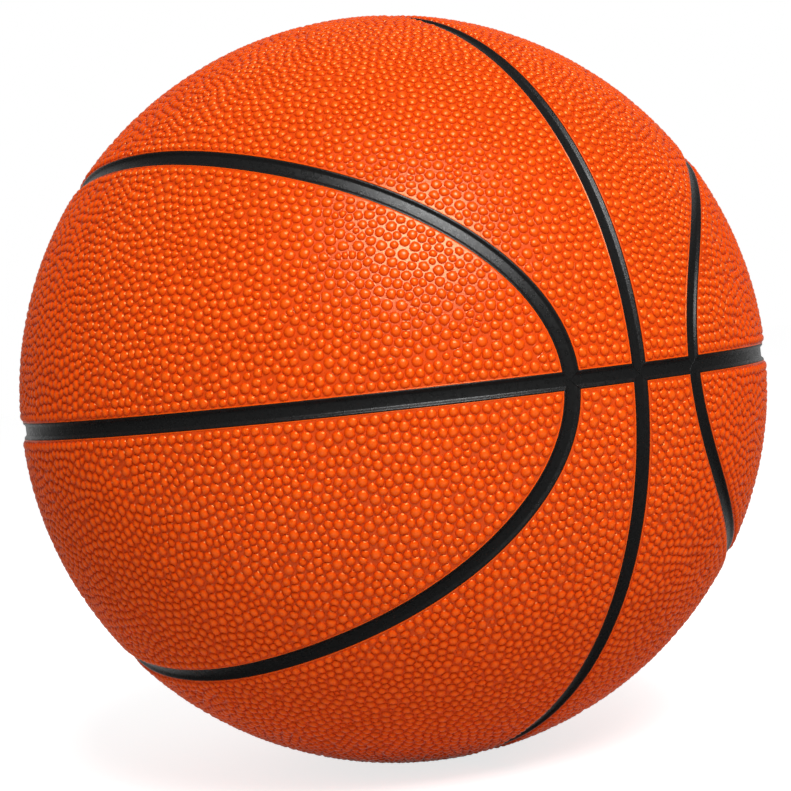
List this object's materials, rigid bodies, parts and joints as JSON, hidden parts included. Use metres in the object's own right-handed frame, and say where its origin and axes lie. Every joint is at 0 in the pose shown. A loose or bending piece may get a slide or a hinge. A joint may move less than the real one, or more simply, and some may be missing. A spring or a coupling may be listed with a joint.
{
  "type": "basketball",
  "caption": "Moulded rubber basketball: pebbled orange cover panels divided by recessed black channels, with inner layers and a needle valve, for bouncing and throwing.",
  "frame": {"origin": "the ball's centre", "axes": "the equator seam lies in the XY plane, the meridian seam in the YZ plane, the two loop seams go round the X axis, and the valve is on the +X side above the equator"},
  "size_m": [0.2384, 0.2384, 0.2384],
  "materials": {
    "cover": "satin, pebbled",
    "channel": "satin, smooth",
    "carcass": "matt",
    "winding": "wound nylon thread",
    "bladder": "satin butyl",
    "valve": "satin"
  },
  "bodies": {
    "root": {"panel_inner_right_upper": "cover", "panel_inner_right_lower": "cover", "panel_inner_left_upper": "cover", "panel_inner_left_lower": "cover", "panel_outer_right_upper": "cover", "panel_outer_right_lower": "cover", "panel_outer_left_upper": "cover", "panel_outer_left_lower": "cover", "channel_equator_right": "channel", "channel_equator_left": "channel", "channel_equator_front_right": "channel", "channel_equator_front_left": "channel", "channel_equator_back_right": "channel", "channel_equator_back_left": "channel", "channel_meridian_upper": "channel", "channel_meridian_lower": "channel", "channel_loop_right_upper": "channel", "channel_loop_right_lower": "channel", "channel_loop_left_upper": "channel", "channel_loop_left_lower": "channel", "carcass": "carcass", "winding": "winding", "bladder": "bladder", "valve_housing": "valve", "valve_core": "valve"}
  },
  "joints": []
}
